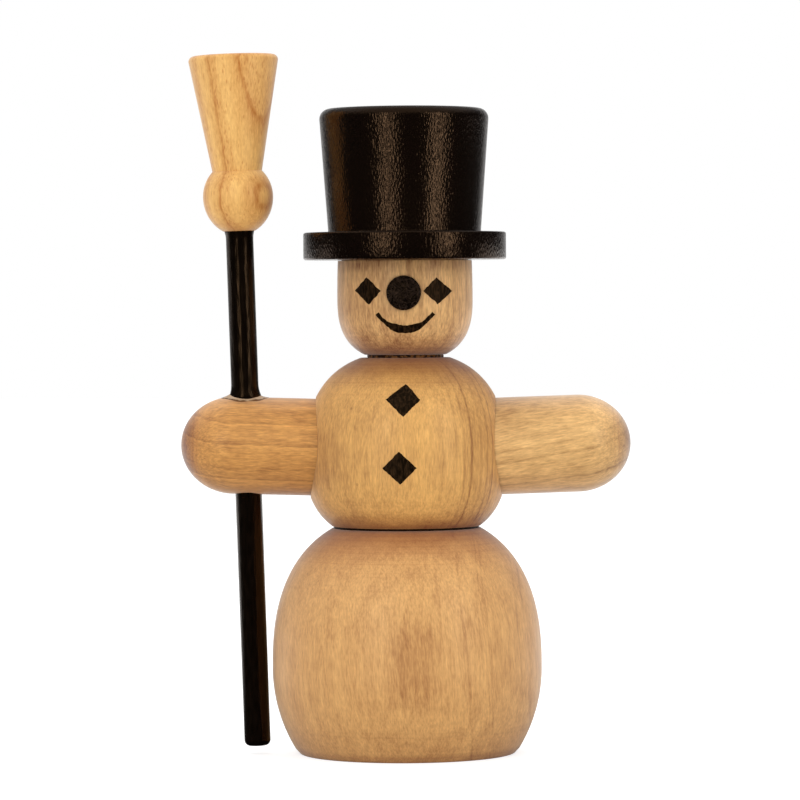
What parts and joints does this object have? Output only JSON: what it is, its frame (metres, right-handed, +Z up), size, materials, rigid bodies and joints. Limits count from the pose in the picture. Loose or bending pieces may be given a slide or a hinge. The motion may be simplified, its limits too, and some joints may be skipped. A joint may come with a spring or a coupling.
{
  "type": "wooden snowman figure",
  "caption": "Free-standing turned wooden snowman of stacked balls, with a top hat, round arms and a broom held upright through one arm.",
  "frame": {"origin": "middle of the base's flat underside, on the body's own axis", "axes": "+Z up the body's axis, the face looks along -Y, the arms lie along X and the broom is on the -X side"},
  "size_m": [0.0834, 0.05, 0.1298],
  "materials": {
    "base_wood": "satin",
    "torso_wood": "satin",
    "head_wood": "satin",
    "broom_arm_wood": "satin",
    "free_arm_wood": "satin",
    "broom_ash": "satin",
    "black_lacquer": "gloss lacquer",
    "dowel_beech": "bare"
  },
  "bodies": {
    "figure": {"base": "base_wood", "waist_dowel": "dowel_beech", "torso": "torso_wood", "neck_dowel": "dowel_beech", "head": "head_wood", "hat_dowel": "dowel_beech", "hat": "black_lacquer", "nose_peg": "black_lacquer"},
    "broom_side": {"broom_arm": "broom_arm_wood", "broom_arm_dowel": "dowel_beech", "broom_stick": "black_lacquer", "broom_head": "broom_ash"},
    "free_side": {"free_arm": "free_arm_wood", "free_arm_dowel": "dowel_beech"}
  },
  "joints": [
    {"name": "broom_shoulder", "type": "hinge", "parent": "figure", "child": "broom_side", "pos_m": [0, 0, 0.05635], "axis": [0.9996, 0, -0.0297], "range_deg": [-120, 120]},
    {"name": "free_shoulder", "type": "hinge", "parent": "figure", "child": "free_side", "pos_m": [0, 0, 0.05635], "axis": [0.9996, 0, 0.0297], "continuous": true}
  ]
}
